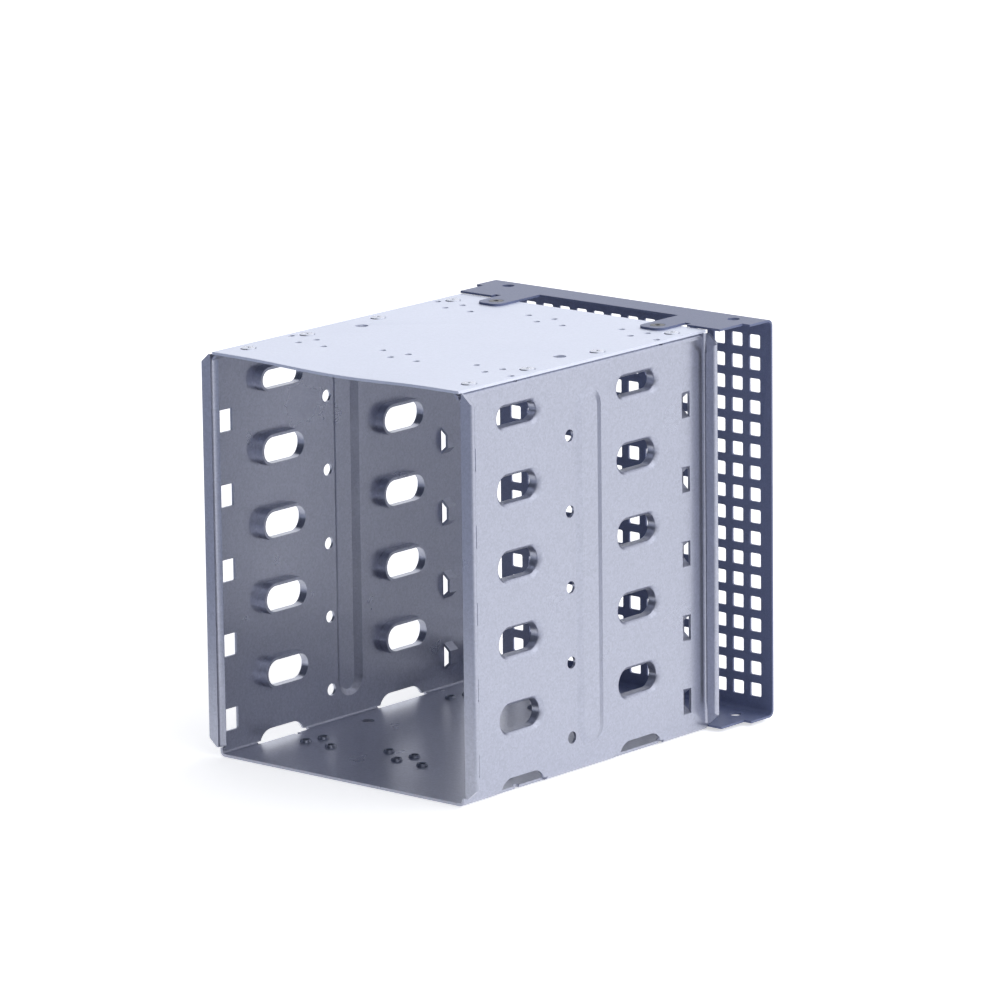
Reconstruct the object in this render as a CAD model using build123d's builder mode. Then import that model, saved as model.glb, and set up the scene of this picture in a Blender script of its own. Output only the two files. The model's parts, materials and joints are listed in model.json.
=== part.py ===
from build123d import *
from math import atan, degrees, radians, tan
import os

# Hard drive cage for three stacked 5.25 inch bays, with a fan bracket on its back.
# X runs across the cage, Y from its open front to the grille, Z up.
# It is drawn from the middle of the floor's front edge, on its underside, and moved at the end so
# that the origin is the middle of the whole footprint.
# All sizes are in millimetres.

# Sheet metal
sheet = 1.0
bend_inside = 1.0
bend_outside = bend_inside + sheet

# Cage body
cage_width = 113.4
cage_depth = 134.5
cage_height = 146.0
top_flange_width = 10.0
top_flange_setback = 4.0

# Outward flanges on the ends of both side walls, each with a closed hem
end_flange_reach = 5.8
hem_gap = 0.2
hem_leg = 4.2
end_flange_foot = 3.0
end_flange_corner = 3.5

# Drive slots with pressed rims, in rows up each wall
drive_rows = 5
row_pitch = 27.0
top_row_height = 134.0
slot_length = 24.0
slot_height = 12.2
top_slot_trim = 2.6
rim_depth = 3.6
rim_lead = 1.4
front_slot_y = 31.6
rear_slot_y = 96.3
relief_slit_reach = 1.4
relief_slit_height = 1.5

# Small holes, lances and bead of each wall
hole_drop = 13.3
square_hole_y = 5.4
square_hole_length = 6.4
square_hole_height = 8.0
round_hole_y = 58.5
round_hole_radius = 2.2
lance_y = 122.9
lance_width = 4.4
lance_height = 9.3
lance_offset = 3.0
lance_crown = 4.2
bead_y = 68.8
bead_width = 14.0
bead_depth = 1.2
bead_slope = 60.0
bead_below_top = 10.0
bead_above_floor = 8.4

# Bay screw holes, the same in the top plate and the floor
bay_pitch = 43.0
bay_count = 3
device_hole_spacing = 11.84
device_hole_depth_spacing = 79.25
bay_hole_x = -53.6
bay_hole_y = 38.0
second_set_shift_x = 9.9
second_set_shift_y = -7.3
tapped_radius = 1.25
burr_radius = 2.15
locating_hole_x = 45.8
locating_hole_y = 66.8
locating_hole_radius = 2.35

# Rivets that hold the top plate to the wall flanges
rivet_x = 50.8
rivet_positions_y = (12.2, 43.2, 81.2, 122.4)
rivet_shank_radius = 1.75
rivet_head_radius = 3.0
rivet_tail_radius = 2.6
rivet_tail_height = 0.9
rivet_clearance = 0.1

# Fan bracket: a perforated grille with a flange at its top and its bottom
bracket_sheet = 0.8
bracket_bend_inside = 1.6
bracket_width = 127.0
bracket_shift_x = 2.5
fan_thickness = 25.0
fan_clearance = 0.5
joint_clearance = 0.3
wide_flange_depth = 13.0
narrow_flange_inset = 3.3
window_width = 64.4
window_back_strip = 14.5
tab_width = 10.6
tab_overlap = 12.0
tab_corner_radius = 3.6
tab_relief_width = 2.6
tab_relief_depth = 2.4
hanging_hole_spacing = 104.8
hanging_hole_inset = 8.2
hanging_hole_radius = 2.25
grille_hole = 5.0
grille_pitch = 8.0
grille_columns = 15
grille_rows = 17

# Countersunk screws that hold the bracket tabs
screw_radius = 1.5
screw_head_radius = 2.8
screw_head_height = bracket_sheet
screw_length = bracket_sheet + sheet
screw_clearance = 0.1
screw_setback = 5.2

# Worked-out places
half_width = cage_width / 2
channel_height = cage_height - sheet
end_flange_tip = half_width + end_flange_reach
row_heights = [top_row_height - row_pitch * row for row in range(drive_rows)]
notch_height = top_row_height - row_pitch * drive_rows
hole_heights = [height - hole_drop for height in row_heights]
grille_inside_y = cage_depth + fan_thickness + fan_clearance
bracket_back_y = grille_inside_y + bracket_sheet
bracket_near_y = cage_depth + joint_clearance
tab_front_y = cage_depth - tab_overlap
bracket_bottom = sheet
bracket_top = cage_height + bracket_sheet
screw_y = tab_front_y + screw_setback + joint_clearance
screw_xs = [bracket_shift_x + side * (window_width + tab_width) / 2 for side in (-1, 1)]
wall_planes = {
    -1: Plane(origin=(-half_width, 0, 0), x_dir=(0, -1, 0), z_dir=(-1, 0, 0)),
    1: Plane(origin=(half_width, 0, 0), x_dir=(0, 1, 0), z_dir=(1, 0, 0)),
}


def wall_spot(side, y, z):
    """Place on a wall's own plane, whose X runs along the wall and whose Y points up."""
    return (side * y, z)


def bay_hole_spots():
    """Middles of all tapped holes: three bays, two sets, front and rear pairs."""
    spots = []
    for bay in range(bay_count):
        for shift_x, shift_y in ((0, 0), (second_set_shift_x, second_set_shift_y)):
            for along in (0, device_hole_spacing):
                for back in (0, device_hole_depth_spacing):
                    x = bay_hole_x + bay * bay_pitch + shift_x + along
                    spots.append((x, bay_hole_y + shift_y + back))
    return spots


def locating_spots():
    """Middles of the two plain holes near the walls."""
    return [(-locating_hole_x, locating_hole_y), (locating_hole_x, locating_hole_y)]


def rivet_spots():
    """Middles of the rivets, in a row along each wall."""
    return [(side * rivet_x, y) for side in (-1, 1) for y in rivet_positions_y]


def draw_slots(side, grow):
    """Obrounds of all drive slots of one wall, wider all round by grow; the top row is less tall."""
    for column_y in (front_slot_y, rear_slot_y):
        for row_height in row_heights:
            trim = top_slot_trim if row_height == top_row_height else 0
            with Locations(wall_spot(side, column_y, row_height - trim / 2)):
                SlotOverall(
                    slot_length - 2 * rim_lead + 2 * grow, slot_height - trim - 2 * rim_lead + 2 * grow
                )


def hem_spot(side, end_y, x, depth):
    """Point of an end flange in plan, at its distance from the middle and its depth into the cage."""
    return (side * x, end_y + (depth if end_y == 0 else -depth))


# Folded channel: floor, two walls, inward top flanges and hemmed end flanges
with BuildPart() as body_channel:
    with BuildSketch(Plane.XZ) as section:
        with Locations((0, channel_height / 2)):
            RectangleRounded(cage_width, channel_height, bend_outside)
            RectangleRounded(
                cage_width - 2 * sheet, channel_height - 2 * sheet, bend_inside, mode=Mode.SUBTRACT
            )
        with Locations((0, channel_height)):
            Rectangle(cage_width - 2 * top_flange_width, 4 * sheet, mode=Mode.SUBTRACT)
    extrude(amount=-cage_depth)

    # The top flanges stay clear of the end bends
    with BuildSketch(Plane.XY.offset(channel_height)):
        with Locations((0, top_flange_setback / 2), (0, cage_depth - top_flange_setback / 2)):
            Rectangle(cage_width - 2 * bend_outside, top_flange_setback)
    extrude(amount=-sheet, mode=Mode.SUBTRACT)

    # The walls stop where their end flanges start to bend
    with BuildSketch(Plane.XY.offset(end_flange_foot)):
        with Locations((0, bend_outside / 2), (0, cage_depth - bend_outside / 2)):
            Rectangle(cage_width, bend_outside)
    extrude(amount=channel_height - bend_outside - end_flange_foot, mode=Mode.SUBTRACT)

    # End flanges, drawn in plan: bend, face, rounded hem and hem leg
    hem_outside = sheet + hem_gap / 2
    bend_x = half_width + bend_inside
    face_end_x = end_flange_tip - hem_outside
    leg_end_x = end_flange_tip - hem_leg
    with BuildSketch(Plane.XY.offset(end_flange_foot)):
        for side in (-1, 1):
            for end_y in (0, cage_depth):
                turn = side if end_y == 0 else -side
                with BuildLine():
                    bend_face = RadiusArc(
                        hem_spot(side, end_y, half_width - sheet, bend_outside),
                        hem_spot(side, end_y, bend_x, 0),
                        turn * bend_outside,
                    )
                    face = Line(bend_face @ 1, hem_spot(side, end_y, face_end_x, 0))
                    hem = RadiusArc(
                        face @ 1, hem_spot(side, end_y, face_end_x, 2 * hem_outside), -turn * hem_outside
                    )
                    leg_back = Line(hem @ 1, hem_spot(side, end_y, leg_end_x, 2 * hem_outside))
                    leg_end = Line(leg_back @ 1, hem_spot(side, end_y, leg_end_x, sheet + hem_gap))
                    leg_front = Line(leg_end @ 1, hem_spot(side, end_y, face_end_x, sheet + hem_gap))
                    fold = RadiusArc(
                        leg_front @ 1, hem_spot(side, end_y, face_end_x, sheet), turn * hem_gap / 2
                    )
                    face_back = Line(fold @ 1, hem_spot(side, end_y, bend_x, sheet))
                    bend_back = RadiusArc(
                        face_back @ 1,
                        hem_spot(side, end_y, half_width, bend_outside),
                        -turn * bend_inside,
                    )
                    Line(bend_back @ 1, bend_face @ 0)
                make_face()
    extrude(amount=channel_height - end_flange_foot)

    # Cut corners of the end flanges: one cut through both layers of the hem
    corner_levels = ((channel_height, -1), (end_flange_foot, 1))
    with BuildSketch(Plane.XZ):
        for side in (-1, 1):
            for level, up in corner_levels:
                corner_z = level + up * end_flange_corner
                with BuildLine():
                    Polyline(
                        (side * (leg_end_x + hem_gap), level),
                        (side * (end_flange_tip + sheet), level),
                        (side * (end_flange_tip + sheet), corner_z),
                        (side * end_flange_tip, corner_z),
                        close=True,
                    )
                make_face()
    extrude(amount=-cage_depth, mode=Mode.SUBTRACT)

    # The folded legs alone show the same cut mirrored about the fold
    with BuildSketch(Plane.XZ.offset(-hem_outside)):
        for side in (-1, 1):
            for level, up in corner_levels:
                corner_z = level + up * end_flange_corner
                with BuildLine():
                    Polyline(
                        (side * leg_end_x, level),
                        (side * end_flange_tip, level),
                        (side * end_flange_tip, corner_z),
                        (side * leg_end_x, corner_z + up * end_flange_corner),
                        close=True,
                    )
                make_face()
    extrude(amount=-(cage_depth - 2 * hem_outside), mode=Mode.SUBTRACT)

    for side in (-1, 1):
        # Drive slots: pressed rims inside the wall, then the openings through them
        with BuildSketch(wall_planes[side]):
            draw_slots(side, sheet)
        extrude(amount=-sheet - rim_depth)
        with BuildSketch(wall_planes[side]):
            draw_slots(side, 0)
        extrude(amount=-2 * sheet - rim_depth, mode=Mode.SUBTRACT)

        # Square and round holes, and the slots under the lances
        with BuildSketch(wall_planes[side]):
            with Locations([wall_spot(side, square_hole_y, z) for z in hole_heights]):
                Rectangle(square_hole_length, square_hole_height)
            with Locations([wall_spot(side, round_hole_y, z) for z in hole_heights]):
                Circle(round_hole_radius)
            with Locations([wall_spot(side, lance_y, z) for z in hole_heights]):
                Rectangle(lance_width, lance_height)
        extrude(amount=-sheet, mode=Mode.SUBTRACT)

        # Half slots cut through the lowest bend, with relief slits past their ends
        with BuildSketch(wall_planes[side]):
            with Locations([wall_spot(side, y, notch_height) for y in (front_slot_y, rear_slot_y)]):
                SlotOverall(slot_length, slot_height)
            with Locations(
                [wall_spot(side, y, relief_slit_height / 2) for y in (front_slot_y, rear_slot_y)]
            ):
                Rectangle(slot_length + 2 * relief_slit_reach, relief_slit_height)
        extrude(amount=-bend_outside, mode=Mode.SUBTRACT)

        # Bridge lances: strips pushed inward on two sloping ends
        foot = lance_height / 2
        crown = lance_crown / 2
        slope_gain = sheet * tan(radians(22.5))
        wall_x = side * half_width
        strip_x = side * (half_width - lance_offset)
        with BuildSketch(Plane.XZ.offset(-lance_y + lance_width / 2)):
            for z in hole_heights:
                with BuildLine():
                    Polyline(
                        (wall_x, z + foot),
                        (strip_x, z + crown),
                        (strip_x, z - crown),
                        (wall_x, z - foot),
                        (wall_x, z - foot - slope_gain),
                        (wall_x - side * sheet, z - foot - slope_gain),
                        (strip_x - side * sheet, z - crown - slope_gain),
                        (strip_x - side * sheet, z + crown + slope_gain),
                        (wall_x - side * sheet, z + foot + slope_gain),
                        (wall_x, z + foot + slope_gain),
                        close=True,
                    )
                make_face()
        extrude(amount=-lance_width)

        # Stiffening bead, pressed outward over most of the wall's height
        bead_high = cage_height - bead_below_top
        bead_length = bead_high - bead_above_floor
        bead_middle = wall_spot(side, bead_y, (bead_high + bead_above_floor) / 2)
        with BuildSketch(wall_planes[side]):
            with Locations(bead_middle):
                SlotOverall(bead_length, bead_width, rotation=90)
        extrude(amount=bead_depth, taper=bead_slope)
        bead_shift = 2 * sheet * tan(radians(90 - bead_slope) / 2)
        with BuildSketch(wall_planes[side].offset(-sheet)):
            with Locations(bead_middle):
                SlotOverall(bead_length - bead_shift, bead_width - bead_shift, rotation=90)
        extrude(amount=bead_depth, taper=bead_slope, mode=Mode.SUBTRACT)

    # Floor holes: tapped bay holes, plain holes and the two bracket screws
    with BuildSketch(Plane.XY):
        with Locations(bay_hole_spots()):
            Circle(tapped_radius)
        with Locations([(x, screw_y) for x in screw_xs]):
            Circle(screw_radius + screw_clearance)
        with Locations(locating_spots()):
            Circle(locating_hole_radius)
    extrude(amount=sheet, mode=Mode.SUBTRACT)

    # Holes of the top flanges, in line with those of the top plate
    with BuildSketch(Plane.XY.offset(channel_height)):
        with Locations(rivet_spots()):
            Circle(rivet_shank_radius + rivet_clearance)
        with Locations(locating_spots()):
            Circle(locating_hole_radius)
        with Locations(bay_hole_spots()):
            Circle(burr_radius)
    extrude(amount=-sheet, mode=Mode.SUBTRACT)

    # Lead-in of the drive slots on the outside of both walls
    for side in (-1, 1):
        wall_face = body_channel.faces().filter_by(Axis.X).filter_by(
            lambda face: abs(face.center().X - side * half_width) < sheet / 10
        ).sort_by(SortBy.AREA)[-1]
        opening_edges = [
            edge
            for wire in wall_face.inner_wires()
            for edge in wire.edges()
            if min(abs(wire.bounding_box().center().Y - y) for y in (front_slot_y, rear_slot_y)) < sheet
            and wire.bounding_box().size.Y > square_hole_length + lance_width
        ]
        chamfer(opening_edges, rim_lead)
body_channel.part.label = "body_channel"

# Top plate: flat, with the same holes and countersunk seats for the rivet heads
with BuildPart() as top_plate:
    with BuildSketch(Plane.XY.offset(channel_height)):
        with Locations((0, cage_depth / 2)):
            Rectangle(cage_width, cage_depth)
    extrude(amount=sheet)
    with BuildSketch(Plane.XY.offset(cage_height)):
        with Locations(bay_hole_spots()):
            Circle(tapped_radius)
        with Locations([(x, screw_y) for x in screw_xs]):
            Circle(screw_radius + screw_clearance)
        with Locations(locating_spots()):
            Circle(locating_hole_radius)
    extrude(amount=-sheet, mode=Mode.SUBTRACT)
    with Locations([Location((x, y, cage_height)) for x, y in rivet_spots()]):
        CounterSinkHole(
            radius=rivet_shank_radius + rivet_clearance,
            counter_sink_radius=rivet_head_radius + rivet_clearance,
            depth=sheet,
            counter_sink_angle=2 * degrees(atan((rivet_head_radius - rivet_shank_radius) / sheet)),
        )
top_plate.part.label = "top_plate"

# Fan bracket: folded sheet, trimmed by the outline of its flanges seen from above
with BuildPart() as fan_bracket:
    bracket_height = bracket_top - bracket_bottom
    fold_length = bracket_back_y - tab_front_y
    with BuildSketch(Plane.YZ.offset(bracket_shift_x - bracket_width / 2)) as fold:
        with Locations((bracket_back_y - fold_length, (bracket_top + bracket_bottom) / 2)):
            RectangleRounded(2 * fold_length, bracket_height, bracket_bend_inside + bracket_sheet)
            RectangleRounded(
                2 * fold_length - 2 * bracket_sheet,
                bracket_height - 2 * bracket_sheet,
                bracket_bend_inside,
                mode=Mode.SUBTRACT,
            )
        with Locations((tab_front_y - fold_length / 2, (bracket_top + bracket_bottom) / 2)):
            Rectangle(fold_length, bracket_height, mode=Mode.SUBTRACT)
    extrude(amount=bracket_width)

    narrow_width = bracket_width - 2 * narrow_flange_inset
    near_depth = bracket_back_y - wide_flange_depth - bracket_near_y
    window_far_y = bracket_back_y - window_back_strip
    tab_length = tab_overlap + joint_clearance + 2 * tab_relief_depth
    with BuildSketch(Plane.XY.offset(bracket_bottom)) as plan:
        with Locations((bracket_shift_x, bracket_back_y - wide_flange_depth / 2)):
            Rectangle(bracket_width, wide_flange_depth)
        with Locations((bracket_shift_x, bracket_near_y + near_depth / 2)):
            Rectangle(narrow_width, near_depth)
        with Locations((bracket_shift_x, (bracket_near_y + window_far_y) / 2)):
            Rectangle(window_width, window_far_y - bracket_near_y, mode=Mode.SUBTRACT)
        for side, tab_x in zip((-1, 1), screw_xs):
            with Locations((tab_x, tab_front_y + tab_length / 2)):
                RectangleRounded(tab_width, tab_length, tab_corner_radius)
            with Locations((tab_x, bracket_near_y + tab_relief_depth / 2)):
                Rectangle(tab_width, tab_length - tab_overlap)
            with Locations((tab_x + side * (tab_width + tab_relief_width) / 2, bracket_near_y)):
                Rectangle(tab_relief_width, 2 * tab_relief_depth, mode=Mode.SUBTRACT)
    extrude(amount=bracket_height, mode=Mode.INTERSECT)

    with BuildSketch(Plane.XZ.offset(-bracket_back_y)):
        with Locations((bracket_shift_x, (bracket_top + bracket_bottom) / 2)):
            with GridLocations(grille_pitch, grille_pitch, grille_columns, grille_rows):
                Rectangle(grille_hole, grille_hole)
    extrude(amount=bracket_sheet, mode=Mode.SUBTRACT)

    with BuildSketch(Plane.XY.offset(bracket_top)):
        with Locations(
            [(bracket_shift_x + side * hanging_hole_spacing / 2, bracket_back_y - hanging_hole_inset)
             for side in (-1, 1)]
        ):
            Circle(hanging_hole_radius)
    extrude(amount=-bracket_height, mode=Mode.SUBTRACT)

    for level in (bracket_bottom + bracket_sheet, bracket_top):
        with Locations([Location((x, screw_y, level)) for x in screw_xs]):
            CounterSinkHole(
                radius=screw_radius + screw_clearance,
                counter_sink_radius=screw_head_radius + screw_clearance,
                depth=2 * bracket_sheet,
            )
fan_bracket.part.label = "fan_bracket"

parts = [body_channel.part, top_plate.part, fan_bracket.part]

# Rivets: flush countersunk head, shank through plate and flange, closed tail below
rivet_end_z = channel_height - sheet - rivet_tail_height
rivet_number = 0
for side, side_name in ((-1, "left"), (1, "right")):
    for number, rivet_y in enumerate(rivet_positions_y, start=1):
        with BuildPart() as rivet:
            with BuildSketch(Plane.XZ.offset(-rivet_y)):
                with BuildLine():
                    Polyline(
                        (side * rivet_x, cage_height),
                        (side * rivet_x + rivet_head_radius, cage_height),
                        (side * rivet_x + rivet_shank_radius, channel_height),
                        (side * rivet_x + rivet_shank_radius, channel_height - sheet),
                        (side * rivet_x + rivet_tail_radius, channel_height - sheet),
                        (side * rivet_x + rivet_tail_radius, rivet_end_z),
                        (side * rivet_x, rivet_end_z),
                        close=True,
                    )
                make_face()
            revolve(axis=Axis((side * rivet_x, rivet_y, 0), (0, 0, 1)))
        rivet.part.label = f"rivet_{side_name}_{number}"
        parts.append(rivet.part)

# Countersunk screws of the bracket tabs, at the top and on the floor
for level, level_name in ((bracket_top, "top"), (bracket_bottom + bracket_sheet, "floor")):
    for screw_x, side_name in zip(screw_xs, ("left", "right")):
        with BuildPart() as screw:
            with BuildSketch(Plane.XZ.offset(-screw_y)):
                with BuildLine():
                    Polyline(
                        (screw_x, level),
                        (screw_x + screw_head_radius, level),
                        (screw_x + screw_radius, level - screw_head_height),
                        (screw_x + screw_radius, level - screw_length),
                        (screw_x, level - screw_length),
                        close=True,
                    )
                make_face()
            revolve(axis=Axis((screw_x, screw_y, 0), (0, 0, 1)))
        screw.part.label = f"bracket_screw_{level_name}_{side_name}"
        parts.append(screw.part)

# The whole cage is moved so that the origin is the middle of its footprint, at floor level
left_end = min(-end_flange_tip, bracket_shift_x - bracket_width / 2)
right_end = max(end_flange_tip, bracket_shift_x + bracket_width / 2)
to_origin = Location((-(left_end + right_end) / 2, -bracket_back_y / 2, 0))

os.makedirs("parts", exist_ok=True)
for part in parts:
    export_step(part.moved(to_origin), f"parts/{part.label}.step")
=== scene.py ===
# %% [markdown]
# # An empty hard drive cage, dressed on its measured frame
# The cage is folded sheet metal: one galvanised channel, one flat galvanised plate riveted on top,
# and a dark painted bracket with a square mesh that would hold a fan. The frame brings every solid
# at its real size. This lesson sets a camera where the picture was taken from, gives each sheet its
# finish, and swaps the solids for finer pieces whose edges are rolled over as a press leaves them.

# %% Load the frame
import json
import math

import bmesh
import bpy
from mathutils import Matrix, Vector


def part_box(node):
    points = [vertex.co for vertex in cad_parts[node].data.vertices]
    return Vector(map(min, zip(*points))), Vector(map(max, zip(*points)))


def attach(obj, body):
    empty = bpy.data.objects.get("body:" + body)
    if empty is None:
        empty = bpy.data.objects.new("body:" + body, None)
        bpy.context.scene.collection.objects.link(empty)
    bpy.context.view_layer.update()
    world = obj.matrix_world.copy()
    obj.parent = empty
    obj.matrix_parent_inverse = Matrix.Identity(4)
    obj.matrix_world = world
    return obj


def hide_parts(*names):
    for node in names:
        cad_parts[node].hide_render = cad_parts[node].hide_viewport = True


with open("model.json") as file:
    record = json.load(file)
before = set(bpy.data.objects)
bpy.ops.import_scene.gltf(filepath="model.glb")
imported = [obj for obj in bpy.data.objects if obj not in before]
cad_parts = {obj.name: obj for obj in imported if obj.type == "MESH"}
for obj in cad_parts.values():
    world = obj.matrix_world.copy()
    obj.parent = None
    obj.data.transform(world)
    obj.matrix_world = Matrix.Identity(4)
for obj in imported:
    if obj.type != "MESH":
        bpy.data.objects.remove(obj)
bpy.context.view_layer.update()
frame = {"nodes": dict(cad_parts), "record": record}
print("pieces in the frame:", sorted(frame["nodes"]))

# %% [markdown]
# ## The camera
# The picture is taken from far away with a long lens, so the cage's parallel edges stay almost
# parallel. A camera like that could be found by eye, turning it until the edges fall into place.
# Here its place was measured instead: the corners, slots and round holes of the cage were matched
# with the same points of the picture, and the place, turn and lens are what fits them best.

# %% Place the camera
picture_width = 1001
sensor_width = 36.0
focal_in_pixels = 6951.2
camera_place = (1.56128, -1.83078, 0.62502)
camera_turn = (1.3505, 0.0117, 0.7020)
farthest_seen = 100.0
camera_data = bpy.data.cameras.new("camera")
camera_data.sensor_width = sensor_width
camera_data.sensor_fit = "HORIZONTAL"
camera_data.lens = focal_in_pixels / picture_width * sensor_width
camera_data.clip_end = farthest_seen
camera = bpy.data.objects.new("camera", camera_data)
camera.location = camera_place
camera.rotation_euler = camera_turn
bpy.context.scene.collection.objects.link(camera)
bpy.context.scene.camera = camera
print("lens in millimetres:", round(camera_data.lens, 1))

# %% [markdown]
# ## A few helpers for materials
# Every finish of the cage is a Principled shader whose colour, roughness and bump come from noise
# textures on Object coordinates, so that the grain has a real size in metres and stays put on the
# sheet. The helpers make an empty material with its shader, add nodes with their settings in one
# call, and write sums and colour ramps in one line each.


# %% Helpers that start a material and add nodes to it
def new_material(name):
    """A material with nothing but its shader and its output; gives the material and the shader."""
    material = bpy.data.materials.new(name)
    material.use_nodes = True
    return material, material.node_tree.nodes["Principled BSDF"]


def add_node(material, kind, settings=None, inputs=None):
    """Adds a node of a kind, sets its own settings and the values of its sockets."""
    node = material.node_tree.nodes.new(kind)
    for key, value in (settings or {}).items():
        setattr(node, key, value)
    for key, value in (inputs or {}).items():
        node.inputs[key].default_value = value
    return node


def join(material, source, target):
    """Links an output socket to an input socket."""
    material.node_tree.links.new(source, target)


# %% Helpers for sums and ramps
def reckon(material, operation, *values):
    """A sum of numbers and outputs of other nodes; gives its output."""
    node = add_node(material, "ShaderNodeMath", {"operation": operation})
    for socket, value in zip(node.inputs, values):
        if isinstance(value, bpy.types.NodeSocket):
            join(material, value, socket)
        else:
            socket.default_value = value
    return node.outputs["Value"]


def spread(material, source, start=0.0, end=1.0, low=0.0, high=1.0):
    """Stretches an output that runs from start to end, so that it runs from low to high."""
    limits = {"From Min": start, "From Max": end, "To Min": low, "To Max": high}
    node = add_node(material, "ShaderNodeMapRange", inputs=limits)
    join(material, source, node.inputs["Value"])
    return node.outputs["Result"]


def ramp(material, source, stops):
    """A colour ramp on a factor; each stop is its place and its colour."""
    node = add_node(material, "ShaderNodeValToRGB")
    elements = node.color_ramp.elements
    while len(elements) < len(stops):
        elements.new(position=0.5)
    for element, (place, colour) in zip(elements, stops):
        element.position = place
        element.color = (*colour, 1.0)
    join(material, source, node.inputs["Fac"])
    return node.outputs["Color"]


# %% [markdown]
# ## Galvanised steel
# Zinc freezes on hot steel in small flat crystals, the spangle. On thin sheet like this they are
# under a millimetre, so the surface is finely speckled, with broad soft patches where the coat ran
# thicker. Cells of a Voronoi texture give the crystals, two sizes of noise give the patches and the
# fine grain. All of them move colour, roughness and bump only a little: from a distance the sheet
# is even.

# %% Make the galvanised finish
rough_spread = 0.05
patch_scale = 38.0
grain_fineness = 1.2
crystal_share = 0.4
grain_share = 0.6
tone_places = (0.2, 0.5, 0.8)
relief = 0.0001
zinc_metallic = 0.8


def galvanised(name, colour, roughness, speckle, crystal=0.0007):
    """Dull zinc on steel; speckle is how far its crystals differ, crystal their size in metres."""
    material, shader = new_material(name)
    place = add_node(material, "ShaderNodeTexCoord")
    crystals = add_node(material, "ShaderNodeTexVoronoi", inputs={"Scale": 1 / crystal})
    fine = {"Scale": grain_fineness / crystal, "Detail": 4.0}
    grain = add_node(material, "ShaderNodeTexNoise", inputs=fine)
    patches = add_node(material, "ShaderNodeTexNoise", inputs={"Scale": patch_scale, "Detail": 4.0})
    for texture in (crystals, grain, patches):
        join(material, place.outputs["Object"], texture.inputs["Vector"])

    # Lightness: mostly even, each crystal a little lighter or darker than its neighbours
    bright = add_node(material, "ShaderNodeSeparateColor")
    join(material, crystals.outputs["Color"], bright.inputs["Color"])
    grain_part = reckon(material, "MULTIPLY", grain.outputs["Fac"], grain_share)
    mixed = reckon(material, "MULTIPLY_ADD", bright.outputs["Red"], crystal_share, grain_part)
    darker = [c * (1 - speckle) for c in colour]
    lighter = [min(1.0, c * (1 + speckle)) for c in colour]
    tone = ramp(material, mixed, list(zip(tone_places, (darker, colour, lighter))))
    join(material, tone, shader.inputs["Base Color"])

    # Roughness follows the broad patches, relief the crystals
    low, high = roughness - rough_spread, roughness + rough_spread
    rough = spread(material, patches.outputs["Fac"], low=low, high=high)
    join(material, rough, shader.inputs["Roughness"])
    bump = add_node(material, "ShaderNodeBump", inputs={"Strength": speckle, "Distance": relief})
    join(material, mixed, bump.inputs["Height"])
    join(material, bump.outputs["Normal"], shader.inputs["Normal"])
    shader.inputs["Metallic"].default_value = zinc_metallic
    return material


sheet_zinc = galvanised("galvanised_sheet", (0.44, 0.458, 0.545), 0.29, speckle=0.10)
plate_zinc = galvanised("galvanised_plate", (0.75, 0.785, 0.90), 0.48, speckle=0.03)
rivet_zinc = galvanised("rivet_zinc", (0.60, 0.63, 0.72), 0.24, speckle=0.06, crystal=0.0004)
# The collars are drawn from the same sheets and have the same zinc; their darker colour is painted
# shade, for the dark they mirror and the shade in their threads.
shaded_collar_zinc = galvanised("shaded_collar_zinc", (0.26, 0.28, 0.35), 0.36, speckle=0.08, crystal=0.0004)
print("zinc finishes:", sheet_zinc.name, plate_zinc.name, rivet_zinc.name, shaded_collar_zinc.name)

# %% [markdown]
# ## Dark powder paint
# The bracket is sprayed with dry paint and baked. It melts into a satin skin with a faint orange
# peel, a millimetre or two from one swell to the next, and fine specks between. The colour is a
# slate blue that is almost black in the shade. The peel moves the bump and a little of the
# roughness; the colour hardly changes over the sheet.

# %% Make the painted finish
peel_scale = 900.0
speck_scale = 3800.0
speck_tones = ((0.3, 0.85), (0.7, 1.15))
peel_strength = 0.2


def painted(name, colour, roughness):
    """Baked powder paint with a fine orange peel."""
    material, shader = new_material(name)
    place = add_node(material, "ShaderNodeTexCoord")
    peel = add_node(material, "ShaderNodeTexNoise", inputs={"Scale": peel_scale, "Detail": 2.0})
    specks = add_node(material, "ShaderNodeTexNoise", inputs={"Scale": speck_scale, "Detail": 2.0})
    for texture in (peel, specks):
        join(material, place.outputs["Object"], texture.inputs["Vector"])
    stops = [(place_on_ramp, [c * tone for c in colour]) for place_on_ramp, tone in speck_tones]
    join(material, ramp(material, specks.outputs["Fac"], stops), shader.inputs["Base Color"])
    low, high = roughness - rough_spread, roughness + rough_spread
    rough = spread(material, peel.outputs["Fac"], low=low, high=high)
    join(material, rough, shader.inputs["Roughness"])
    bump = add_node(material, "ShaderNodeBump", inputs={"Strength": peel_strength, "Distance": relief})
    join(material, peel.outputs["Fac"], bump.inputs["Height"])
    join(material, bump.outputs["Normal"], shader.inputs["Normal"])
    return material


slate_paint = painted("slate_paint", (0.158, 0.187, 0.325), 0.42)
black_zinc = painted("black_zinc", (0.035, 0.038, 0.052), 0.34)
print("dark finishes:", slate_paint.name, black_zinc.name)

# %% [markdown]
# ## Measures taken from the frame
# Everything that follows hangs on a few places of the cage: its middle, its front, the top of its
# floor and the underside of its plate. They are read from the boxes of the solids, so the dressed
# pieces follow when the cage is built in another size. The tapped holes come from the frame too,
# which says where the middle of each group of four stands and how far its holes are apart.

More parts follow.
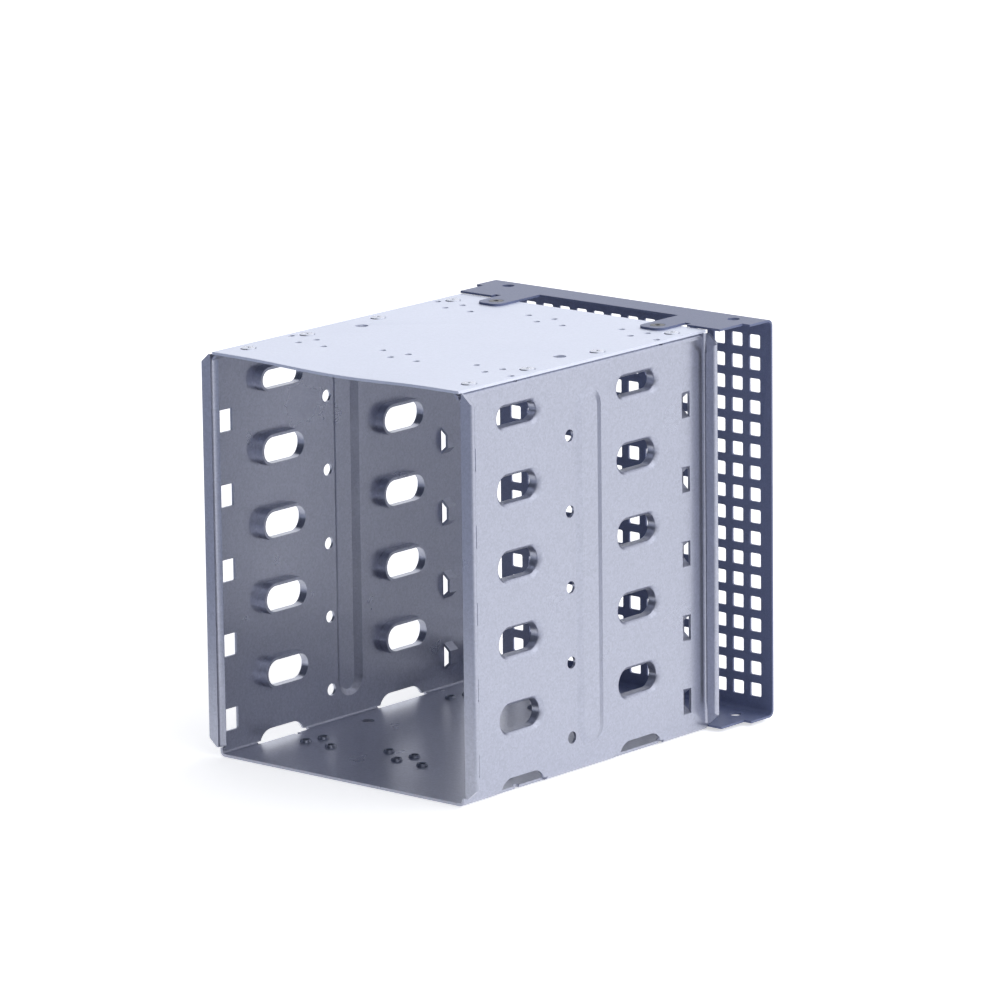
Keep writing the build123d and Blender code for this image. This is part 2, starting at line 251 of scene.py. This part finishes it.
# %% Read the places
mm_per_metre = 1000
plate_low, plate_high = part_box("top_plate")
middle_x = (plate_low.x + plate_high.x) / 2
middle_y = (plate_low.y + plate_high.y) / 2
half_width = (plate_high.x - plate_low.x) / 2
front_y = plate_low.y
back_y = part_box("fan_bracket")[1].y
sheet = plate_high.z - plate_low.z
floor_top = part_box("body_channel")[0].z + sheet
print("half width in millimetres:", round(half_width * mm_per_metre, 2))
print("sheet in millimetres:", round(sheet * mm_per_metre, 2))

# %% List the tapped holes
hole_radius = 0.00125


def bay_holes(side):
    """Middles of all tapped holes of the top or the floor, from the frame's own hole patterns."""
    for mount in frame["record"]["mounts"]:
        if mount["name"].startswith(side) and "bay_holes" in mount["name"]:
            x, y, _ = mount["pos_m"]
            half_x = mount["dims"]["spacing_x_mm"] / 2 / mm_per_metre
            half_y = mount["dims"]["spacing_y_mm"] / 2 / mm_per_metre
            for shift_x in (-half_x, half_x):
                for shift_y in (-half_y, half_y):
                    yield (x + shift_x, y + shift_y)


print("tapped holes above and below:", len(list(bay_holes("top"))), len(list(bay_holes("floor"))))

# %% [markdown]
# ## Finer copies of the sheets
# A solid comes as flat facets with knife edges, while punched and bent sheet has edges rolled over
# by a tenth of a millimetre, which catch the light as thin bright lines. Modelling the sheets anew
# would lose their measured places, so each copy starts from the solid's own mesh: its facets are
# joined, flat areas are made whole again, the edges are bevelled, and the copy takes the solid's
# place.

# %% Helpers that copy a solid and bevel its edges
facet_join = 2e-6
flat_within = 0.5
sharp_fold = 60
square_fold = 80
press_edge = 0.00012


def joined_copy(node):
    """The solid's mesh as a work mesh, its doubled points merged and its flat areas whole."""
    work = bmesh.new()
    work.from_mesh(frame["nodes"][node].data)
    bmesh.ops.remove_doubles(work, verts=work.verts, dist=facet_join)
    bmesh.ops.dissolve_limit(
        work,
        angle_limit=math.radians(flat_within),
        verts=work.verts,
        edges=work.edges,
        delimit={"NORMAL"},
    )
    return work


def fold_angle(edge):
    """How sharply two faces meet at an edge, in degrees; none where it isn't between two."""
    return math.degrees(edge.calc_face_angle(0.0)) if len(edge.link_faces) == 2 else 0.0


def round_over(work, edges, width, steps):
    """Bevels these edges; steps is how many facets make the round."""
    bmesh.ops.bevel(
        work,
        geom=list(edges),
        offset=width,
        offset_type="OFFSET",
        segments=steps,
        profile=0.5,
        affect="EDGES",
        clamp_overlap=True,
        material=-1,
    )


def roll_sharp_edges(work, width):
    """Rolls every sharp edge over, as a press or a coat of paint leaves it."""
    round_over(work, [edge for edge in work.edges if fold_angle(edge) > sharp_fold], width, steps=1)


# %% Helper that makes a work mesh a piece of the cage
flat_crease = 1.0


def finish_piece(work, name, material, stands_for=(), crease=24.0, flat_area=2e-4):
    """Turns a work mesh into a piece of the cage: smooth on its curves, crisp at its creases."""
    for face in work.faces:
        face.smooth = True
    for edge in work.edges:
        beside_flat = any(face.calc_area() > flat_area for face in edge.link_faces)
        edge.smooth = fold_angle(edge) < (flat_crease if beside_flat else crease)
    mesh = bpy.data.meshes.new(name)
    work.to_mesh(mesh)
    work.free()
    mesh.materials.append(material)
    piece = bpy.data.objects.new(name, mesh)
    bpy.context.scene.collection.objects.link(piece)
    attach(piece, "root")
    if stands_for:
        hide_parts(*stands_for)
    print(name, "has", len(mesh.polygons), "faces")


# %% [markdown]
# ## The folded channel
# Floor, walls, top flanges and end flanges are one sheet. A drive slot is pressed inward, so the
# sheet runs into it over a round shoulder, which shows as a soft dark crescent beside each slot.
# The solid has a plain slope there, and rounding both of its edges makes the shoulder.

# %% Start the channel and round the shoulders of its slots
shoulder_round = 0.0007
shoulder_folds = (35, 55)
lead_in_depth = 0.0014
above_bend = floor_top + 2 * sheet
channel = joined_copy("body_channel")


def wall_depth(vert):
    """How far a point lies inside the outer face of its wall; less than none on the bead."""
    return half_width - abs(vert.co.x - middle_x)


shoulders = [
    edge
    for edge in channel.edges
    if shoulder_folds[0] < fold_angle(edge) < shoulder_folds[1]
    and all(-facet_join < wall_depth(vert) < lead_in_depth for vert in edge.verts)
    and all(vert.co.z > above_bend for vert in edge.verts)
]
round_over(channel, shoulders, shoulder_round, steps=2)
print("slot shoulders rounded:", len(shoulders), "edges")

# %% [markdown]
# The bead is a shallow rib, pressed outward, that keeps the wall from drumming. Its front side is
# steeper than its rear side, which runs out gently and shows as a soft dark band. The solid has the
# same slope on both sides, so the rear points of the bead's top are drawn toward its middle, and
# then its edges are softened far more than the punched ones. Last, all sharp edges are rolled over.

# %% Soften the bead and finish the channel
bead_folds = (22, 34)
bead_middle = 0.0688
bead_reach = 0.0075
bead_lean = 0.0020
bead_soften = 0.0007
bead_edges = [
    edge
    for edge in channel.edges
    if bead_folds[0] < fold_angle(edge) < bead_folds[1]
    and all(wall_depth(vert) < sheet + facet_join for vert in edge.verts)
    and all(abs(vert.co.y - front_y - bead_middle) < bead_reach for vert in edge.verts)
]
for vert in {vert for edge in bead_edges for vert in edge.verts}:
    from_middle = vert.co.y - front_y - bead_middle
    if wall_depth(vert) < -facet_join and from_middle > 0:
        vert.co.y -= bead_lean * from_middle / bead_reach
round_over(channel, bead_edges, bead_soften, steps=3)
print("bead edges softened:", len(bead_edges))
roll_sharp_edges(channel, press_edge)
finish_piece(channel, "channel", sheet_zinc, ("body_channel",))

# %% [markdown]
# ## The top plate
# The screw holes are drawn downward before they are tapped, so the sheet rolls into each of them
# over a small funnel. The funnels could be turned pieces of their own, but then a seam would show.
# Here the rim of each hole is bevelled, and on the tapped holes the round is pressed flatter, wide
# and shallow as the drawing tool leaves it.

# %% Start the plate and draw its holes
funnel = 0.0009
funnel_flatness = 0.5
longest_rim_edge = 0.001
plate = joined_copy("top_plate")
hole_rims = [
    edge
    for edge in plate.edges
    if fold_angle(edge) > sharp_fold
    and all(abs(vert.co.z - plate_high.z) < facet_join for vert in edge.verts)
    and edge.calc_length() < longest_rim_edge
]
round_over(plate, hole_rims, funnel, steps=4)
print("hole rims rounded:", len(hole_rims), "edges")

holes = list(bay_holes("top"))
funnel_reach = hole_radius + funnel + facet_join
for vert in plate.verts:
    depth = plate_high.z - vert.co.z
    if depth > funnel + facet_join:
        continue
    if min(math.hypot(vert.co.x - x, vert.co.y - y) for x, y in holes) < funnel_reach:
        vert.co.z = plate_high.z - depth * funnel_flatness
roll_sharp_edges(plate, press_edge)

# %% [markdown]
# The plate is flat, but its free front edge was bumped and hangs a little in the middle, which
# shows as a slight bow over the open front. A lattice could bend it; cutting is plainer. The plate
# is cut into strips near its front, so that it has points to bend at, and those points are lowered
# along a smooth wave.

# %% Let the front edge sag and finish the plate
sag = 0.0011
sag_reach = 0.040
sag_margin = 0.010
sag_half_width = half_width - sag_margin
strip = 0.005
largest_flat = 4e-4
for number in range(1, int(sag_reach / strip)):
    bmesh.ops.bisect_plane(
        plate,
        geom=plate.verts[:] + plate.edges[:] + plate.faces[:],
        dist=facet_join,
        plane_co=(0, front_y + number * strip, 0),
        plane_no=(0, 1, 0),
    )
for number in range(-int(sag_half_width / strip), int(sag_half_width / strip) + 1):
    near = [face for face in plate.faces if face.calc_center_median().y < front_y + sag_reach]
    touched = {part: None for face in near for part in (*face.verts, *face.edges)}
    bmesh.ops.bisect_plane(
        plate,
        geom=list(touched) + near,
        dist=facet_join,
        plane_co=(middle_x + number * strip, 0, 0),
        plane_no=(1, 0, 0),
    )
for vert in plate.verts:
    across = abs(vert.co.x - middle_x) / sag_half_width
    along = (vert.co.y - front_y) / sag_reach
    if across < 1 and along < 1:
        vert.co.z -= sag * (1 + math.cos(math.pi * across)) / 2 * (1 - along) ** 2
finish_piece(plate, "plate", plate_zinc, ("top_plate",), flat_area=largest_flat)

# %% [markdown]
# ## The fan bracket
# The mesh is punched with square tools whose corners are a little round, and the paint rounds them
# further. The solid has plain square holes, which keeps it light. In the copy the short edges
# through the sheet, four to a hole, are rounded over, and then the paint's roll goes round every
# rim.

# %% Make the bracket
punch_corner = 0.0006
paint_edge = 0.0001
bracket = joined_copy("fan_bracket")
square_edges = [edge for edge in bracket.edges if fold_angle(edge) > square_fold]
bracket_sheet = min(edge.calc_length() for edge in square_edges)


def runs_through_mesh(edge):
    """Tells an edge that goes straight through the upright sheet, from its back face inward."""
    one, other = (vert.co for vert in edge.verts)
    straight = abs(one.x - other.x) + abs(one.z - other.z) < facet_join
    return straight and max(one.y, other.y) > back_y - facet_join


corners = [edge for edge in square_edges if runs_through_mesh(edge)]
print("mesh corners:", len(corners))
round_over(bracket, corners, punch_corner, steps=3)
roll_sharp_edges(bracket, paint_edge)
finish_piece(bracket, "bracket", slate_paint, ("fan_bracket",))

# %% [markdown]
# ## Turned pieces: collars, rivets and screws
# Small round things are turned: half of their outline is drawn as points of radius and height and
# spun once round. The drawn collar of a tapped hole stands a millimetre proud of the floor inside
# the cage, and hangs as far below the plate. One object holds all collars of a sheet, because they
# are part of it. A hole beside the wall has no collar, as it would reach into the bend.


# %% Helpers that spin an outline and finish it
def turn(work, outline, place, steps):
    """Spins an outline of (radius, height) points once round an upright line through place."""
    x, y, z = place
    rim = [work.verts.new((x + radius, y, z + height)) for radius, height in outline]
    lines = [work.edges.new(pair) for pair in zip(rim, rim[1:])]
    bmesh.ops.spin(
        work,
        geom=rim + lines,
        cent=place,
        axis=(0, 0, 1),
        angle=math.tau,
        steps=steps,
        use_merge=True,
    )


def finish_turned(work, name, material, stands_for=()):
    """Closes a turned piece's middle and faces it outward."""
    bmesh.ops.remove_doubles(work, verts=work.verts, dist=facet_join)
    bmesh.ops.recalc_face_normals(work, faces=work.faces)
    finish_piece(work, name, material, stands_for, crease=40.0)


# %% Make the collars of the tapped holes
collar_height = 0.0010
collar_outside = 0.00215
collar_lip = 0.00025
clear_of_bend = half_width - 2 * sheet
for side, level, up in (("floor", floor_top, 1), ("top", plate_low.z, -1)):
    collars = bmesh.new()
    outline = [
        (hole_radius, 0.0),
        (hole_radius, up * (collar_height - collar_lip)),
        (hole_radius + collar_lip, up * collar_height),
        (collar_outside - 2 * collar_lip, up * collar_height),
        (collar_outside - collar_lip, up * (collar_height - collar_lip)),
        (collar_outside, 0.0),
        (hole_radius, 0.0),
    ]
    for x, y in bay_holes(side):
        if abs(x - middle_x) + collar_outside < clear_of_bend:
            turn(collars, outline, (x, y, level), steps=18)
    # The collars' darker zinc is painted shade.
    finish_turned(collars, side + "_collars", shaded_collar_zinc)

# %% [markdown]
# ## Rivets
# The head of each rivet lies in a countersunk seat of the plate and is a shallow button with a
# round dimple where the tool pushed. The tail below the flange is a plain squashed end. A seam as
# fine as a hair round the head, where it meets its seat, is left open, and shows as a dark ring.

# %% Make the rivets
seam = 0.00014
button_rise = 0.00045
# Places on the button, as shares of the head's radius and of the button's rise
button_curve = ((0.5, 1.0), (0.72, 0.85), (0.86, 0.45))
dimple_radius = 0.0008
dimple_depth = 0.0003
dimple_floor_share = 0.6
dimple_lip_share = 0.95
seat_run = 1.25
tail_flare = 0.00085
tail_round = 0.0004
tail_straight_share = 0.7


def rivet_outline(head, length):
    """The half outline of a rivet, from the middle of its dimple down to the middle of its tail."""
    shank = head - sheet * seat_run
    tail = shank + tail_flare
    under = -2 * sheet
    tail_height = length - 2 * sheet
    dimple_floor = button_rise - dimple_depth
    return [
        (0.0, dimple_floor),
        (dimple_radius * dimple_floor_share, dimple_floor),
        (dimple_radius, button_rise * dimple_lip_share),
        *((head * out, button_rise * up) for out, up in button_curve),
        (head - 2 * seam, -seam),
        (shank, -sheet),
        (shank, under),
        (tail, under),
        (tail, under - tail_height * tail_straight_share),
        (tail - tail_round, under - tail_height),
        (0.0, under - tail_height),
    ]


for node in sorted(frame["nodes"]):
    if not node.startswith("rivet"):
        continue
    low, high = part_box(node)
    rivet = bmesh.new()
    middle_of_head = ((low.x + high.x) / 2, (low.y + high.y) / 2, high.z)
    turn(rivet, rivet_outline((high.x - low.x) / 2, high.z - low.z), middle_of_head, steps=28)
    finish_turned(rivet, node + "_turned", rivet_zinc, (node,))

# %% [markdown]
# ## Screws of the bracket
# A flat head sits in the tab with a deep driver recess, which is the dark spot that shows. The
# thread is hidden in the sheets, so the shank stays plain.

# %% Make the screws
recess_radius = 0.0010
recess_depth = 0.0006
recess_floor_share = 0.7
head_overhang = 0.0013


def screw_outline(head, length):
    """The half outline of a countersunk screw, from the middle of its recess to its end."""
    shank = head - head_overhang
    return [
        (0.0, -recess_depth),
        (recess_radius * recess_floor_share, -recess_depth),
        (recess_radius, 0.0),
        (head - seam, 0.0),
        (head, -seam),
        (shank, -bracket_sheet),
        (shank, -length),
        (0.0, -length),
    ]


for node in sorted(frame["nodes"]):
    if not node.startswith("bracket_screw"):
        continue
    low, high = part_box(node)
    screw = bmesh.new()
    middle_of_head = ((low.x + high.x) / 2, (low.y + high.y) / 2, high.z)
    turn(screw, screw_outline((high.x - low.x) / 2, high.z - low.z), middle_of_head, steps=24)
    finish_turned(screw, node + "_turned", black_zinc, (node,))

# %% [markdown]
# ## The floor
# The cage stands on a white sheet. The lens looks down on it and never reaches a horizon, so one
# large floor is the whole background. A lift makes it pure white for the lens, and the cage's
# shadow stays. Bare metal is only as good as what it mirrors: the wall on the right should mirror
# something bright, and the edges that face the front something dim and blue. So the floor that
# metal sees is bright to the right, and dim to the left, behind and in front, by compass direction
# round the cage. Under the cage there is no lift, so what shows through its lower holes is dark.

# %% Say how bright the floor looks in each direction
white = (0.9, 0.9, 0.9)
dim_blue = (0.56, 0.60, 0.72)
white_lift = 0.6
near_radius = 0.12
far_radius = 0.30
inside_share = 0.85
outside_share = 0.97
full_turn = 360

# Degrees round the cage, 0 to its right and 90 behind it, and how bright the floor looks there
bright_by_degrees = (
    (-180, 0.0),
    (-120, 0.0),
    (-80, 0.1),
    (-45, 0.4),
    (-15, 1.0),
    (58, 1.0),
    (82, 0.0),
    (180, 0.0),
)


# %% Helpers that read the place on the floor
def place_from_cage(material):
    """How far a point of the floor is from the cage's middle: along x, along y and in all."""
    place = add_node(material, "ShaderNodeNewGeometry")
    shifted = add_node(material, "ShaderNodeVectorMath", {"operation": "SUBTRACT"})
    shifted.inputs[1].default_value = (middle_x, middle_y, 0.0)
    join(material, place.outputs["Position"], shifted.inputs[0])
    along = add_node(material, "ShaderNodeSeparateXYZ")
    join(material, shifted.outputs["Vector"], along.inputs["Vector"])
    length = add_node(material, "ShaderNodeVectorMath", {"operation": "LENGTH"})
    join(material, shifted.outputs["Vector"], length.inputs[0])
    return along.outputs["X"], along.outputs["Y"], length.outputs["Value"]


def outside_cage(material, along_x, along_y):
    """0 under the cage and 1 outside it, with a soft step just inside its walls and ends."""
    sideways = reckon(material, "ABSOLUTE", reckon(material, "DIVIDE", along_x, half_width))
    endways = reckon(material, "ABSOLUTE", reckon(material, "DIVIDE", along_y, plate_high.y - middle_y))
    furthest = reckon(material, "MAXIMUM", sideways, endways)
    return spread(material, furthest, start=inside_share, end=outside_share)


# %% Lay the floor
def floor_material(name):
    """Matt white, lifted for the lens, and for metal as much as the direction allows."""
    material, shader = new_material(name)
    shader.inputs["Roughness"].default_value = 1.0
    shader.inputs["Specular IOR Level"].default_value = 0.0
    shader.inputs["Emission Color"].default_value = (1.0, 1.0, 1.0, 1.0)
    rays = add_node(material, "ShaderNodeLightPath")
    along_x, along_y, distance = place_from_cage(material)

    # Brightness by compass direction, with 0 degrees half way along the ramp; close to the cage it
    # is bright all round
    direction = reckon(material, "ARCTAN2", along_y, along_x)
    turned = spread(material, direction, start=-math.pi, end=math.pi)
    stops = [(degrees / full_turn + 0.5, (grey, grey, grey)) for degrees, grey in bright_by_degrees]
    around = ramp(material, turned, stops)
    far = spread(material, distance, start=near_radius, end=far_radius)

    # Metal sees less lift and a dimmer colour where the direction is dim
    metal_lift = add_node(material, "ShaderNodeMix", {"data_type": "FLOAT"}, {"A": white_lift})
    join(material, far, metal_lift.inputs["Factor"])
    join(material, reckon(material, "MULTIPLY", around, white_lift), metal_lift.inputs["B"])
    dimness = reckon(material, "MULTIPLY", reckon(material, "SUBTRACT", 1.0, around), far)
    colours = {"A": (*white, 1.0), "B": (*dim_blue, 1.0)}
    tint = add_node(material, "ShaderNodeMix", {"data_type": "RGBA"}, colours)
    seen_dimness = reckon(material, "MULTIPLY", dimness, rays.outputs["Is Glossy Ray"])
    join(material, seen_dimness, tint.inputs["Factor"])
    join(material, tint.outputs["Result"], shader.inputs["Base Color"])

    by_lens = reckon(material, "MULTIPLY", rays.outputs["Is Camera Ray"], white_lift)
    seen = (rays.outputs["Is Glossy Ray"], metal_lift.outputs["Result"], by_lens)
    lift = reckon(material, "MULTIPLY_ADD", *seen)
    glow = reckon(material, "MULTIPLY", lift, outside_cage(material, along_x, along_y))
    join(material, glow, shader.inputs["Emission Strength"])
    return material


floor_drop = 0.0003
floor_reach = 30.0
floor_mesh = bpy.data.meshes.new("floor")
work = bmesh.new()
down = Matrix.Translation((0, 0, -floor_drop))
bmesh.ops.create_grid(work, x_segments=1, y_segments=1, size=floor_reach, matrix=down)
work.to_mesh(floor_mesh)
work.free()
floor = bpy.data.objects.new("floor", floor_mesh)
floor_mesh.materials.append(floor_material("white_floor"))
bpy.context.scene.collection.objects.link(floor)
print("floor reaches", floor_reach, "metres to each side")

# %% [markdown]
# ## Surroundings and lamps
# The light is broad and soft. It could come from large lamps all round; here the sky itself does
# most of it, a smooth change from dim to bright toward one side, behind and to the right. So the
# wall on the right is light and the inside is dark. Two lamps with a very wide face help it: one
# nearly overhead, and one low behind the cage on the left, whose sheen makes the top plate light.

# %% Make the sky
bright_side = Vector((0.86, 0.48, 0.17)).normalized()
dim_light = (0.045, 0.055, 0.085)
full_light = (1.28, 1.29, 1.33)
dim_until = -0.1
bright_from = 0.75
world = bpy.data.worlds.new("surroundings")
bpy.context.scene.world = world
world.use_nodes = True
sky = world.node_tree
look = sky.nodes.new("ShaderNodeTexCoord")
toward = sky.nodes.new("ShaderNodeVectorMath")
toward.operation = "DOT_PRODUCT"
toward.inputs[1].default_value = bright_side
sky.links.new(look.outputs["Generated"], toward.inputs[0])
share = sky.nodes.new("ShaderNodeMapRange")
share.interpolation_type = "SMOOTHSTEP"
share.inputs["From Min"].default_value = dim_until
share.inputs["From Max"].default_value = bright_from
sky.links.new(toward.outputs["Value"], share.inputs["Value"])
light = sky.nodes.new("ShaderNodeMix")
light.data_type = "RGBA"
light.clamp_result = False
light.inputs["A"].default_value = (*dim_light, 1.0)
light.inputs["B"].default_value = (*full_light, 1.0)
sky.links.new(share.outputs["Result"], light.inputs["Factor"])
sky.links.new(light.outputs["Result"], sky.nodes["Background"].inputs["Color"])
sky.nodes["Background"].inputs["Strength"].default_value = 1.0
print("sky is brightest toward:", [round(part, 2) for part in bright_side])


# %% Add the lamps
def soft_sun(name, energy, angle, tilt):
    """A lamp very far away; angle is how wide it looks and tilt how it is turned, in degrees."""
    data = bpy.data.lights.new(name, "SUN")
    data.energy = energy
    data.angle = math.radians(angle)
    lamp = bpy.data.objects.new(name, data)
    lamp.rotation_euler = [math.radians(a) for a in tilt]
    bpy.context.scene.collection.objects.link(lamp)


soft_sun("top_light", energy=0.3, angle=60, tilt=(-12, 20, 0))
soft_sun("back_light", energy=0.85, angle=60, tilt=(-43, -45, 0))

# %% [markdown]
# ## The colours
# The colours are shown as they are, without a film look.

# %% Finish
bpy.context.scene.view_settings.view_transform = "Standard"
